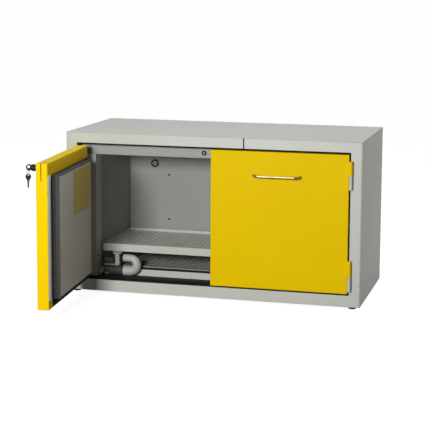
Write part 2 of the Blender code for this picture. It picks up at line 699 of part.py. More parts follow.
def key_set(axis, head_front):
    """The key in the lock, the ring through its bow and the spare key on the ring."""
    half_t = KEY_T / 2
    bow_y = head_front - KEY_BOW_REACH
    key = turned("key", rod_outline(KEY_BOW_R, -half_t, half_t), STEEL,
                 at=(LOCK_X, bow_y, LOCK_Z), axis="+X", parent=axis)
    join(key, box("key_blade", (LOCK_X - half_t, LOCK_X + half_t),
                  (bow_y, head_front + 0.0077),
                  (LOCK_Z - KEY_BLADE_H / 2, LOCK_Z + KEY_BLADE_H / 2), STEEL, axis))
    hole_y = bow_y - 0.003
    cut(key, turned("key_hole", rod_outline(KEY_HOLE_R, -THROUGH, THROUGH), STEEL,
                    at=(LOCK_X, hole_y, LOCK_Z), axis="+X", sides=16, parent=axis))

    wire_top = LOCK_Z - RING_SAG
    torus("key_ring", (LOCK_X, hole_y, wire_top - RING_R), RING_R, RING_WIRE_R, STEEL, axis)

    wire_low = wire_top - 2 * RING_R
    hole_z = wire_low - SPARE_SAG
    spare = turned("spare_key", rod_outline(KEY_BOW_R, -half_t, half_t), STEEL,
                   at=(LOCK_X, hole_y, hole_z - 0.004), axis="+X", parent=axis)
    blade_top = hole_z - 0.004 - KEY_BOW_R * 0.8
    width = KEY_BLADE_H / 2
    teeth = [(width, 0.0), (width, 0.014), (width * 0.3, 0.016), (width * 0.8, 0.020),
             (width * 0.2, 0.024), (width * 0.7, 0.028), (0.0, SPARE_BLADE), (-width, 0.030),
             (-width, 0.0)]
    outline = [(LOCK_X, hole_y + across, blade_top - down) for across, down in teeth]
    join(spare, plate("spare_blade", outline, KEY_T, STEEL, axis))
    cut(spare, turned("spare_hole", rod_outline(SPARE_HOLE_R, -THROUGH, THROUGH), STEEL,
                      at=(LOCK_X, hole_y, hole_z), axis="+X", sides=16, parent=axis))


def lock_strike():
    turned("lock_strike",
           [(STRIKE_HOLE_R, 0.0), (STRIKE_R, 0.0), (STRIKE_R, STRIKE_D - 0.001),
            (STRIKE_R - 0.001, STRIKE_D), (STRIKE_HOLE_R, STRIKE_D)],
           BLACK_PLASTIC, at=(-HINGE_X + LOCK_X, INNER_FRONT - GAP, LOCK_Z), axis="-Y")


SIDES = (("left", -1), ("right", 1))

outer_skin()
front_frame()
inner_frame()
walls()
door_seal()
shelf()
sump()
exhaust_fitting()
ventilation_ports()
feet()
frame_hinge_halves()
left_axis, left_shell, left_core = door("left", -1, LEFT_DOOR_OPEN)
door("right", 1, RIGHT_DOOR_OPEN)
key_set(left_axis, lock(left_axis, left_shell, left_core))
lock_strike()
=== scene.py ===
"""Looks for the under-bench flammable storage cabinet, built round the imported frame. Metres."""

import json
import math

import bmesh
import bpy
from mathutils import Matrix, Vector

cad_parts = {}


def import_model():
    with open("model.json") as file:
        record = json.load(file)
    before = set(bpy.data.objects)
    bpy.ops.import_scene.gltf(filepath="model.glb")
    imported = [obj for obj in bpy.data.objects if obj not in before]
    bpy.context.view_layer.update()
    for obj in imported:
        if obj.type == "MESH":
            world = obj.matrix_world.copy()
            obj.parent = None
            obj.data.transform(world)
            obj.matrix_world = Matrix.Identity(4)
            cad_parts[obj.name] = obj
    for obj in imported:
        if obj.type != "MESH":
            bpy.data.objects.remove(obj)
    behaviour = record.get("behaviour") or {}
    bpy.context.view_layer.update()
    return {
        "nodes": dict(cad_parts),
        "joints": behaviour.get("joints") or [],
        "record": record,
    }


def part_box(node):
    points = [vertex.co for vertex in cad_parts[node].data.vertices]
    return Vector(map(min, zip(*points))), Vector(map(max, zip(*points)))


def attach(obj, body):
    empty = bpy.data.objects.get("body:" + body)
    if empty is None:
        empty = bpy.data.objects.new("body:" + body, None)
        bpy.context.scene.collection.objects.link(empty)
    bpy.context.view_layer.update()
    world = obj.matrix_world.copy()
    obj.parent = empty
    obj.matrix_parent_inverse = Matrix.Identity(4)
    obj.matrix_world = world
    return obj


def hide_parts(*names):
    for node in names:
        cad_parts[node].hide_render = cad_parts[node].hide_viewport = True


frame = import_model()
NODES = frame["nodes"]
BOX = {name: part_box(name) for name in NODES}


def low(node):
    return BOX[node][0]


def high(node):
    return BOX[node][1]


HINGE_X, HINGE_Y, _ = next(joint for joint in frame["joints"]
                           if joint["name"] == "right_door_swing")["pos_m"]
DOOR_FACE = low("front_stile_left").y - HINGE_Y   # in a door's own depth
LEFT_DOOR_OPEN = math.radians(85.0)               # as modelled
SWAP_YZ = Matrix(((1, 0, 0, 0), (0, 0, 1, 0), (0, 1, 0, 0), (0, 0, 0, 1)))
SWAP_XY = Matrix(((0, 1, 0, 0), (1, 0, 0, 0), (0, 0, 1, 0), (0, 0, 0, 1)))


# ---------------------------------------------------------------- camera, floor and light

def add_camera():
    """Stands where the photograph was taken, with a small downward lens shift."""
    data = bpy.data.cameras.new("camera")
    data.lens = 113.03
    data.sensor_width = 36.0
    data.shift_y = -0.12
    camera = bpy.data.objects.new("camera", data)
    bpy.context.scene.collection.objects.link(camera)
    yaw, pitch, roll = 0.2610, 0.1382, 0.0050
    turn = (Matrix.Rotation(yaw, 4, "Z") @ Matrix.Rotation(math.pi / 2 - pitch, 4, "X")
            @ Matrix.Rotation(roll, 4, "Z"))
    camera.matrix_world = Matrix.Translation((1.2571, -4.8901, 1.1642)) @ turn
    bpy.context.scene.camera = camera


def area_light(name, place, aim, size, power, colour=(1.0, 1.0, 1.0)):
    data = bpy.data.lights.new(name, "AREA")
    data.energy = power
    data.size = size
    data.color = colour
    light = bpy.data.objects.new(name, data)
    bpy.context.scene.collection.objects.link(light)
    light.location = place
    light.rotation_mode = "QUATERNION"
    light.rotation_quaternion = (Vector(aim) - Vector(place)).to_track_quat("-Z", "Y")


def world():
    """Ambient light, dimmed from the right front; plain white to the camera."""
    scene = bpy.context.scene
    scene.view_settings.view_transform = "Standard"
    scene.world = bpy.data.worlds.new("studio")
    scene.world.use_nodes = True
    nodes, links = scene.world.node_tree.nodes, scene.world.node_tree.links
    ambient, seen = nodes["Background"], nodes.new("ShaderNodeBackground")
    ambient.inputs["Color"].default_value = (0.98, 0.99, 1.0, 1.0)
    toward = nodes.new("ShaderNodeVectorMath")
    toward.operation = "DOT_PRODUCT"
    toward.inputs[1].default_value = (0.60, -0.80, 0.0)
    links.new(nodes.new("ShaderNodeTexCoord").outputs["Generated"], toward.inputs[0])
    dimmed = nodes.new("ShaderNodeMapRange")
    for name, number in (("From Min", -0.3), ("From Max", 0.3), ("To Min", 0.50),
                         ("To Max", 0.03)):
        dimmed.inputs[name].default_value = number
    links.new(toward.outputs["Value"], dimmed.inputs["Value"])
    links.new(dimmed.outputs["Result"], ambient.inputs["Strength"])
    seen.inputs["Color"].default_value = (1.0, 1.0, 1.0, 1.0)
    seen.inputs["Strength"].default_value = 1.02
    path = nodes.new("ShaderNodeLightPath")
    mix = nodes.new("ShaderNodeMixShader")
    links.new(path.outputs["Is Camera Ray"], mix.inputs[0])
    links.new(ambient.outputs[0], mix.inputs[1])
    links.new(seen.outputs[0], mix.inputs[2])
    links.new(mix.outputs[0], nodes["World Output"].inputs["Surface"])


def lights():
    area_light("key", (-0.36, -3.4, 1.15), (0.0, -0.2, 0.30), 0.5, 87.0, (1.0, 0.99, 0.96))
    area_light("side", (2.8, 1.3, 0.8), (0.55, 0.0, 0.30), 1.6, 32.0)
    area_light("overhead", (0.0, 0.1, 2.7), (0.0, 0.0, 0.3), 1.6, 25.0)


def pale_floor():
    """A floor that reaches the horizon and is nearly white to the camera."""
    half_width, drop = 300.0, 0.0002
    shape = bmesh.new()
    bmesh.ops.create_grid(shape, x_segments=1, y_segments=1, size=half_width)
    mesh = bpy.data.meshes.new("studio_floor")
    shape.to_mesh(mesh)
    shape.free()
    floor = bpy.data.objects.new("studio_floor", mesh)
    bpy.context.scene.collection.objects.link(floor)
    floor.location.z = low("foot_front_left").z - drop
    pale = bpy.data.materials.new("pale_floor")
    pale.use_nodes = True
    nodes, links = pale.node_tree.nodes, pale.node_tree.links
    surface = nodes["Principled BSDF"]
    surface.inputs["Base Color"].default_value = (0.22, 0.22, 0.22, 1.0)
    surface.inputs["Roughness"].default_value = 0.9
    surface.inputs["Specular IOR Level"].default_value = 0.1
    surface.inputs["Emission Color"].default_value = (1.0, 1.0, 1.0, 1.0)
    glow = nodes.new("ShaderNodeMath")
    glow.operation = "MULTIPLY"
    glow.inputs[1].default_value = 0.92
    seen_by = nodes.new("ShaderNodeLightPath")
    links.new(seen_by.outputs["Is Camera Ray"], glow.inputs[0])
    links.new(glow.outputs[0], surface.inputs["Emission Strength"])
    floor.data.materials.append(pale)


# ---------------------------------------------------------------- materials

class Shader:
    """A principled material with short calls for its nodes."""

    def __init__(self, name, colour, roughness, metallic=0.0):
        self.material = bpy.data.materials.new(name)
        self.material.use_nodes = True
        self.nodes = self.material.node_tree.nodes
        self.links = self.material.node_tree.links
        self.base = self.nodes["Principled BSDF"]
        self.base.inputs["Base Color"].default_value = (*colour, 1.0)
        self.base.inputs["Roughness"].default_value = roughness
        self.base.inputs["Metallic"].default_value = metallic
        self.colour = colour
        self.place = self.nodes.new("ShaderNodeTexCoord").outputs["Object"]

    def link(self, output, target):
        self.links.new(output, target)

    def scaled(self, factors):
        mapping = self.nodes.new("ShaderNodeMapping")
        mapping.inputs["Scale"].default_value = factors
        self.link(self.place, mapping.inputs["Vector"])
        return mapping.outputs["Vector"]

    def noise(self, scale, detail=3.0, stretch=None):
        node = self.nodes.new("ShaderNodeTexNoise")
        node.inputs["Scale"].default_value = scale
        node.inputs["Detail"].default_value = detail
        self.link(self.scaled(stretch) if stretch else self.place, node.inputs["Vector"])
        return node.outputs["Fac"]

    def ramp(self, value, stops):
        node = self.nodes.new("ShaderNodeValToRGB")
        ramp = node.color_ramp
        while len(ramp.elements) < len(stops):
            ramp.elements.new(0.5)
        for element, (position, colour) in zip(ramp.elements, stops):
            element.position = position
            element.color = (*colour, 1.0)
        self.link(value, node.inputs["Fac"])
        return node.outputs["Color"]

    def range(self, value, to_low, to_high, start=0.3, end=0.7):
        node = self.nodes.new("ShaderNodeMapRange")
        for name, number in (("From Min", start), ("From Max", end), ("To Min", to_low),
                             ("To Max", to_high)):
            node.inputs[name].default_value = number
        self.link(value, node.inputs["Value"])
        return node.outputs["Result"]

    def mottle(self, scale, spread, detail=3.0):
        """Base colour that drifts a little about its own value."""
        dark = tuple(c * (1 - spread) for c in self.colour)
        light = tuple(min(1.0, c * (1 + spread)) for c in self.colour)
        self.link(self.ramp(self.noise(scale, detail), ((0.3, dark), (0.7, light))),
                  self.base.inputs["Base Color"])

    def uneven_gloss(self, scale, rough_low, rough_high):
        self.link(self.range(self.noise(scale), rough_low, rough_high),
                  self.base.inputs["Roughness"])

    def bump(self, height, distance, strength=1.0):
        node = self.nodes.new("ShaderNodeBump")
        node.inputs["Distance"].default_value = distance
        node.inputs["Strength"].default_value = strength
        self.link(height, node.inputs["Height"])
        before = self.base.inputs["Normal"].links
        if before:
            self.link(before[0].from_socket, node.inputs["Normal"])
        self.link(node.outputs["Normal"], self.base.inputs["Normal"])


def powder_coat(name, colour, roughness, shine=0.5):
    """Sprayed and baked paint: fine orange peel, slightly uneven gloss and tone."""
    paint = Shader(name, colour, roughness)
    paint.base.inputs["Specular IOR Level"].default_value = shine
    paint.mottle(4.0, 0.018)
    paint.uneven_gloss(30.0, roughness - 0.04, roughness + 0.05)
    paint.bump(paint.noise(900.0, 2.0), 0.00005)
    paint.bump(paint.noise(5.0, 1.0), 0.0008, 0.25)
    return paint.material


def laminate(name, colour, roughness=0.5):
    """Smooth sheet or profile with faint mottling and a fine grain."""
    sheet = Shader(name, colour, roughness)
    sheet.mottle(2.5, 0.03)
    sheet.uneven_gloss(22.0, roughness - 0.05, roughness + 0.06)
    sheet.bump(sheet.noise(420.0, 4.0), 0.00004)
    return sheet.material


def fire_board(name, colour, fleck):
    """Pressed mineral board with flecks and a rough, open surface."""
    board = Shader(name, colour, 0.85)
    board.link(board.ramp(board.noise(260.0, 6.0), ((0.38, fleck), (0.55, colour))),
               board.base.inputs["Base Color"])
    board.bump(board.noise(320.0, 5.0), 0.00025)
    return board.material


def rubber(name):
    """Matt black rubber."""
    skin = Shader(name, (0.008, 0.008, 0.009), 0.7)
    skin.base.inputs["Specular IOR Level"].default_value = 0.15
    skin.mottle(60.0, 0.25)
    skin.uneven_gloss(45.0, 0.6, 0.8)
    skin.bump(skin.noise(800.0, 3.0), 0.00006)
    return skin.material


def plastic(name, colour, roughness, shine=0.5):
    """Moulded plastic with a light, even texture."""
    skin = Shader(name, colour, roughness)
    skin.base.inputs["Specular IOR Level"].default_value = shine
    skin.mottle(25.0, 0.05)
    skin.uneven_gloss(60.0, roughness - 0.05, roughness + 0.08)
    skin.bump(skin.noise(700.0, 2.0), 0.00004)
    return skin.material


def bright_metal(name, colour, roughness, stretch):
    """Polished or brushed metal with fine drawn lines along one direction."""
    metal = Shader(name, colour, roughness, 1.0)
    lines = metal.noise(1.0, 4.0, stretch)
    metal.link(metal.range(lines, roughness * 0.7, roughness * 1.6),
               metal.base.inputs["Roughness"])
    metal.bump(lines, 0.00002)
    return metal.material


LOOKS = {
    "grey": powder_coat("powder_coat_grey", (0.560, 0.575, 0.530), 0.42),
    "yellow": powder_coat("powder_coat_yellow", (0.82, 0.560, 0.0005), 0.40, 0.04),
    "lining": laminate("laminate_grey", (0.340, 0.345, 0.328)),
    "panel": laminate("inner_panel_grey", (0.50, 0.51, 0.50), 0.42),
    "label": laminate("blank_plate_yellow", (0.52, 0.38, 0.04), 0.45),
    # near-black hem colour: painted shade on the inner panel's turned side
    "edging": laminate("panel_hem_painted_shade", (0.018, 0.019, 0.015), 0.6),
    "board": fire_board("fire_board", (0.60, 0.58, 0.53), (0.42, 0.40, 0.36)),
    "strip": laminate("edge_strip_pale", (0.84, 0.84, 0.79), 0.4),
    "graphite": fire_board("graphite_board", (0.019, 0.018, 0.022), (0.010, 0.010, 0.012)),
    "rubber": rubber("black_rubber"),
    "black": plastic("black_plastic", (0.008, 0.008, 0.009), 0.45, 0.2),
    "valve": plastic("dark_moulding", (0.060, 0.060, 0.062), 0.45),
    "pipe": plastic("pipe_grey", (0.46, 0.47, 0.45), 0.38),
    "chrome": bright_metal("chrome", (0.82, 0.82, 0.80), 0.12, (40.0, 1500.0, 1500.0)),
    # handle metal tinted and darkened yellow-brown: painted reflection of the yellow door
    "bar": bright_metal("handle_bar_painted_reflection", (0.36, 0.31, 0.20), 0.36, (40.0, 1500.0, 1500.0)),
    "dark_steel": bright_metal("dark_steel", (0.10, 0.10, 0.10), 0.35, (60.0, 60.0, 1500.0)),
    "steel": bright_metal("bright_steel", (0.58, 0.58, 0.56), 0.28, (1500.0, 60.0, 1500.0)),
}
SLOT_LOOK = {     # the look of each CAD material slot
    "grey_paint": "grey", "yellow_paint": "yellow", "lining_grey": "lining",
    "panel_grey": "panel", "insulation": "board", "graphite": "graphite",
    "black_rubber": "rubber", "black_plastic": "black", "dark_valve": "valve",
    "pipe_grey": "pipe", "chrome": "chrome", "steel": "steel",
}
OWN_LOOK = {"door_left_handle": "bar", "door_right_handle": "bar",
            "inner_jamb_left": "grey", "inner_jamb_right": "grey"}


def dress_nodes():
    """Gives every CAD node its own look or the look of its slot."""
    slots = {part["node"]: part["material_slot"] for part in frame["record"]["subparts"]}
    for name, node in NODES.items():
        for place in node.material_slots:
            place.material = LOOKS[OWN_LOOK.get(name) or SLOT_LOOK[slots[name]]]


# ---------------------------------------------------------------- mesh helpers

ON_AXIS = 1e-6     # a smaller radius is the axis itself


def piece(name, shape, look, body, instead_of=(), edges=0.0, smooth=30.0):
    """Turns a bmesh into a piece on a body, with its sharp edges rounded if asked."""
    bmesh.ops.recalc_face_normals(shape, faces=shape.faces)
    mesh = bpy.data.meshes.new(name)
    shape.to_mesh(mesh)
    shape.free()
    mesh.shade_smooth()
    mesh.set_sharp_from_angle(angle=math.radians(smooth))
    made = bpy.data.objects.new(name, mesh)
    bpy.context.scene.collection.objects.link(made)
    made.data.materials.append(LOOKS[look])
    if edges:
        rounding = made.modifiers.new("edges", "BEVEL")
        rounding.width = edges
        rounding.segments = 3
        rounding.limit_method = "ANGLE"
        rounding.angle_limit = math.radians(40)
    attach(made, body)
    if instead_of:
        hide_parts(*instead_of)


def slab(shape, xs, ys, zs, to=Matrix()):
    """Adds a box between three pairs of limits."""
    centre = Vector([(min(p) + max(p)) / 2 for p in (xs, ys, zs)])
    size = [max(p) - min(p) for p in (xs, ys, zs)]
    bmesh.ops.create_cube(shape, size=1.0,
                          matrix=to @ Matrix.Translation(centre) @ Matrix.Diagonal((*size, 1.0)))


def prism(shape, outline, ys, to=Matrix()):
    """Adds an outline in X and Z, drawn out between two places along Y."""
    rings = [[shape.verts.new(to @ Vector((x, y, z))) for x, z in outline] for y in ys]
    shape.faces.new(rings[0])
    shape.faces.new(rings[1])
    for i in range(len(outline)):
        j = (i + 1) % len(outline)
        shape.faces.new((rings[0][i], rings[0][j], rings[1][j], rings[1][i]))


def lathe(shape, profile, to, sides=24):
    """Adds a solid turned about Z from (radius, height) pairs, placed by a matrix."""
    rings = []
    for radius, height in profile:
        if radius < ON_AXIS:
            rings.append([shape.verts.new(to @ Vector((0.0, 0.0, height)))])
            continue
        rings.append([shape.verts.new(to @ Vector((radius * math.cos(2 * math.pi * i / sides),
                                                   radius * math.sin(2 * math.pi * i / sides),
                                                   height))) for i in range(sides)])
    closed = profile[0][0] > ON_AXIS
    pairs = list(zip(rings, rings[1:])) + ([(rings[-1], rings[0])] if closed else [])
    for first, second in pairs:
        for i in range(sides):
            j = (i + 1) % sides
            corners = [first[i % len(first)], first[j % len(first)],
                       second[j % len(second)], second[i % len(second)]]
            corners = [v for k, v in enumerate(corners) if v not in corners[:k]]
            if len(corners) > 2:
                shape.faces.new(corners)


def facing(place, direction):
    """Matrix that puts +Z of a turned solid along a direction at a place."""
    return (Matrix.Translation(Vector(place))
            @ Vector(direction).to_track_quat("Z", "Y").to_matrix().to_4x4())


def framed(shape, xs, zs, section, to=Matrix()):
    """Adds a rectangular frame: a closed section of (outward, depth) swept round X and Z."""
    loops = []
    for out, depth in section:
        corners = ((xs[0] - out, zs[0] - out), (xs[1] + out, zs[0] - out),
                   (xs[1] + out, zs[1] + out), (xs[0] - out, zs[1] + out))
        loops.append([shape.verts.new(to @ Vector((x, depth, z))) for x, z in corners])
    for first, second in zip(loops, loops[1:] + loops[:1]):
        for i in range(4):
            j = (i + 1) % 4
            shape.faces.new((first[i], first[j], second[j], second[i]))


def oval(y, z, across, up, sides=32):
    """Outline in Y and Z, from its centre and two half widths."""
    return [(y + across * math.cos(2 * math.pi * i / sides),
             z + up * math.sin(2 * math.pi * i / sides)) for i in range(sides)]


def holed(shape, outside, hole, xs, to):
    """Adds a plate in Y and Z with one hole, between two places along X."""
    rings = [[[shape.verts.new(to @ Vector((x, y, z))) for y, z in outline]
              for outline in (outside, hole)] for x in xs]
    for i in range(len(outside)):
        j = (i + 1) % len(outside)
        for first, second in ((rings[0][0], rings[0][1]), (rings[0][1], rings[1][1]),
                              (rings[1][1], rings[1][0]), (rings[1][0], rings[0][0])):
            shape.faces.new((first[i], first[j], second[j], second[i]))


def perforated(shape, xs, ys, z, pitch, hole, thickness, margin):
    """Adds a flat sheet with rows of eight-sided holes of a radius, inside a plain margin."""
    count_x = int((xs[1] - xs[0] - 2 * margin) / pitch)
    count_y = int((ys[1] - ys[0] - 2 * margin) / pitch)
    start_x = (xs[0] + xs[1] - count_x * pitch) / 2
    start_y = (ys[0] + ys[1] - count_y * pitch) / 2
    grid = {}

    def point(x, y, level):
        key = (round(x, 6), round(y, 6), level)
        if key not in grid:
            grid[key] = shape.verts.new((x, y, z - level * thickness))
        return grid[key]

    spokes = [(math.cos(math.pi * i / 4), math.sin(math.pi * i / 4)) for i in range(8)]
    for row in range(count_y):
        for column in range(count_x):
            x, y = start_x + (column + 0.5) * pitch, start_y + (row + 0.5) * pitch
            rims = []
            for level in (0, 1):
                inner = [shape.verts.new((x + hole * c, y + hole * s, z - level * thickness))
                         for c, s in spokes]
                outer = [point(x + pitch / 2 * round(c), y + pitch / 2 * round(s), level)
                         for c, s in ((1.4 * c, 1.4 * s) for c, s in spokes)]
                for i in range(8):
                    j = (i + 1) % 8
                    shape.faces.new((inner[i], outer[i], outer[j], inner[j]))
                rims.append(inner)
            for i in range(8):
                j = (i + 1) % 8
                shape.faces.new((rims[0][i], rims[0][j], rims[1][j], rims[1][i]))
    edge_x = (start_x, start_x + count_x * pitch)
    edge_y = (start_y, start_y + count_y * pitch)
    for x0, x1, y0, y1 in ((xs[0], xs[1], ys[0], edge_y[0]), (xs[0], xs[1], edge_y[1], ys[1]),
                           (xs[0], edge_x[0], edge_y[0], edge_y[1]),
                           (edge_x[1], xs[1], edge_y[0], edge_y[1])):
        slab(shape, (x0, x1), (y0, y1), (z - thickness, z))


# ---------------------------------------------------------------- cabinet

SHEET = 0.0015     # steel of the shelf and of the sump insert


def front_frame():
    """The welded frame round the doors, open at the joint in its top rail."""
    left, right = low("front_stile_left").x, high("front_stile_right").x
    top, bottom = high("front_stile_left").z, low("front_stile_left").z
    in_left, in_right = high("front_stile_left").x, low("front_stile_right").x
    in_top, in_bottom = low("front_rail_top_left").z, high("front_rail_bottom").z
    front, back = low("front_stile_left").y, high("front_rail_bottom").y
    opened = 0.0010
    seam = (high("front_rail_top_left").x - opened, low("front_rail_top_right").x + opened)
    shape = bmesh.new()
    prism(shape, [(seam[1], top), (right, top), (right, bottom), (left, bottom), (left, top),
                  (seam[0], top), (seam[0], in_top), (in_left, in_top), (in_left, in_bottom),
                  (in_right, in_bottom), (in_right, in_top), (seam[1], in_top)], (front, back))
    piece("front_frame_welded", shape, "grey", "cabinet",
          ("front_stile_left", "front_stile_right", "front_rail_top_left",
           "front_rail_top_right", "front_rail_bottom"), edges=0.0012)
    joint_filler(seam, (front, back), (in_top, top))


def joint_filler(seam, ys, zs):
    """Dark filler in the top rail's joint, and the small screw on the top skin beside it."""
    clear, set_back = 0.0003, 0.0035
    screw_aside, screw_back = 0.0135, 0.0035
    shape = bmesh.new()
    slab(shape, (seam[0] + clear, seam[1] - clear), (ys[0] + set_back, ys[1]),
         (zs[0] + 0.0005, zs[1] - 0.001))
    lathe(shape, [(0.0, 0.0004), (0.0013, 0.0004), (0.0019, 0.0), (0.0019, -0.001),
                  (0.0, -0.001)],
          facing((seam[1] + screw_aside, low("outer_top").y + screw_back, high("outer_top").z),
                 (0, 0, 1)), sides=16)
    piece("frame_joint_backing", shape, "black", "cabinet")


def gasket():
    """The ribbed seal in the gap round the doors, thicker along its top."""
    lo, hi = BOX["door_seal"]
    rib = 0.0042
    groove, shoulder, top_thicker = rib * 0.6, rib * 0.75, 0.0057
    front, back = lo.y, hi.y
    section = [(0.0, front + 0.001), (-0.0012, front), (-shoulder, front + 0.0004),
               (-rib, front + 0.002), (-rib, front + 0.006), (-groove, front + 0.0075),
               (-groove, front + 0.011), (-rib, front + 0.0125), (-rib, front + 0.019),
               (-groove, front + 0.0205), (-groove, back - 0.004), (-rib, back - 0.002),
               (-rib, back), (0.0, back)]
    shape = bmesh.new()
    framed(shape, (lo.x, hi.x), (lo.z, hi.z), section)
    slab(shape, (lo.x + rib, hi.x - rib), (front + 0.001, back - 0.001),
         (hi.z - top_thicker, hi.z - rib + 0.0004))
    piece("door_gasket", shape, "rubber", "cabinet", ("door_seal",))


def shelf():
    """Pressed shelf: a perforated deck inside a turned-up rim with a deep front lip."""
    lo, hi = BOX["shelf"]
    deck = 0.150
    inside = ((lo.x + SHEET, hi.x - SHEET), (lo.y + SHEET, hi.y - SHEET))
    shape = bmesh.new()
    perforated(shape, *inside, deck, pitch=0.020, hole=0.0055, thickness=SHEET, margin=0.012)
    framed(shape, *inside, [(0.0, lo.z), (SHEET, lo.z), (SHEET, hi.z), (0.0, hi.z)], SWAP_YZ)
    piece("shelf_perforated", shape, "grey", "shelf", ("shelf",))


def sump_insert():
    """Perforated cover over the tray, with a lip round its sides."""
    lo, hi = BOX["sump_insert"]
    lip = high("sump_insert_strip").z + 0.0003
    inside = ((lo.x + SHEET, hi.x - SHEET), (lo.y + SHEET, hi.y - SHEET))
    shape = bmesh.new()
    perforated(shape, *inside, hi.z, pitch=0.024, hole=0.0092, thickness=SHEET, margin=0.014)
    for xs in ((lo.x, lo.x + SHEET), (hi.x - SHEET, hi.x)):
        slab(shape, xs, (lo.y, hi.y), (lo.z, hi.z))
    for ys in ((lo.y, lo.y + SHEET), (hi.y - SHEET, hi.y)):
        slab(shape, inside[0], ys, (lip, hi.z))
    # darker lining colour instead of grey paint: painted shade under the shelf
    piece("sump_insert_perforated", shape, "lining", "sump_insert",
          ("sump_insert",))


def tray_rim():
    """Rolled rim of the sump tray."""
    lo, hi = BOX["sump_tray"]
    shape = bmesh.new()
    framed(shape, (lo.x, hi.x), (lo.y, hi.y),
           [(0.0002, hi.z - 0.004), (0.0011, hi.z - 0.0034), (0.0013, hi.z - 0.001),
            (0.0008, hi.z + 0.0006), (-0.0006, hi.z + 0.0008), (-0.0017, hi.z + 0.0002),
            (-0.0017, hi.z - 0.004)], SWAP_YZ)
    piece("sump_tray_rim", shape, "grey", "sump_tray")


def vent():
    """Round black ventilation grille on the rear lining, with light studs."""
    lo, hi = BOX["rear_vent"]
    centre = (lo + hi) / 2
    radius = (hi.x - lo.x) / 2
    at = facing((centre.x, hi.y, centre.z), (0, -1, 0))
    rim, dish = 0.0036, 0.0022
    shape = bmesh.new()
    lathe(shape, [(0.0, 0.0), (radius, 0.0), (radius, 0.0026), (radius - 0.0012, rim),
                  (radius - 0.0035, rim), (radius - 0.0042, dish), (0.0, dish)], at, sides=40)
    piece("vent_disc", shape, "black", "cabinet", ("rear_vent",))
    stud = [(0.0, 0.0027), (0.0013, 0.0027), (0.0017, 0.0024), (0.0017, 0.0018), (0.0, 0.0018)]
    shape = bmesh.new()
    for count, orbit, start in ((1, 0.0, 0.0), (6, 0.0046, 0.0), (10, 0.0090, 0.3)):
        for i in range(count):
            angle = 2 * math.pi * i / count + start
            aside = (orbit * math.cos(angle), orbit * math.sin(angle), 0)
            lathe(shape, stud, at @ Matrix.Translation(aside), sides=12)
    piece("vent_openings", shape, "grey", "cabinet")


def exhaust():
    """Collar, ribs, bolts and nut on the exhaust fitting in the lower left corner."""
    lo, hi = BOX["exhaust_bend"]
    valve_lo, valve_hi = BOX["exhaust_valve"]
    pipe_y = (lo.y + hi.y) / 2
    low_r, high_r = (hi.y - lo.y) / 2, 0.0138      # of the bend's two ends
    low_z, high_z = lo.z + low_r, hi.z - high_r

    mouth = facing((lo.x, pipe_y, high_z), (1, 0, 0))
    shape = bmesh.new()
    lathe(shape, [(high_r - 0.002, -0.0018), (high_r + 0.0004, -0.0018),
                  (high_r + 0.0016, -0.0006), (high_r + 0.0016, 0.0062),
                  (high_r + 0.0004, 0.0074), (high_r - 0.002, 0.0074)], mouth, sides=32)
    lathe(shape, [(0.0, 0.0), (high_r - 0.0016, 0.0), (high_r - 0.0016, -0.0016),
                  (0.0, -0.0016)], mouth, sides=32)
    piece("bend_collar", shape, "rubber", "cabinet")

    boss, margin, ribs = 0.0158, 0.006, 9
    port_x, port_z = valve_lo.x + 0.004, 0.0995
    barrel = (valve_lo.x + boss, valve_hi.x)
    shape = bmesh.new()
    for i in range(ribs):
        x = barrel[0] + margin + (barrel[1] - barrel[0] - 2 * margin) * i / (ribs - 1)
        lathe(shape, [(low_r - 0.001, -0.0012), (low_r + 0.0003, -0.0012), (low_r + 0.001, 0.0),
                      (low_r + 0.0003, 0.0012), (low_r - 0.001, 0.0012)],
              facing((x, pipe_y, low_z), (1, 0, 0)), sides=32)
    lathe(shape, [(0.0066, -0.0008), (0.0123, -0.0008), (0.0127, 0.0), (0.0127, 0.003),
                  (0.0123, 0.0038), (0.0066, 0.0038)],
          facing((port_x, pipe_y, port_z), (1, 0, 0)), sides=28)
    piece("valve_ribs", shape, "valve", "cabinet")

    plate_top = 0.0855
    shape = bmesh.new()
    for along in (0.008, 0.021):
        at = facing((low("exhaust_spool").x + along, pipe_y, plate_top + 0.0002), (0, 0, 1))
        lathe(shape, [(0.0, 0.0), (0.0042, 0.0), (0.0042, 0.0006), (0.0, 0.0006)], at, sides=20)
        lathe(shape, [(0.0, 0.0006), (0.0031, 0.0006), (0.0031, 0.0018), (0.0026, 0.0022),
                      (0.0, 0.0022)], at, sides=6)
    piece("spool_bolts", shape, "steel", "cabinet")

    shape = bmesh.new()
    for along in (0.0025, 0.0055, 0.0085, 0.0115):
        lathe(shape, [(0.0115, -0.0009), (0.0127, -0.0009), (0.0130, 0.0), (0.0127, 0.0009),
                      (0.0115, 0.0009)],
              facing((low("exhaust_union").x + along, pipe_y, low_z), (1, 0, 0)), sides=6)
    piece("union_nut_flats", shape, "chrome", "cabinet")


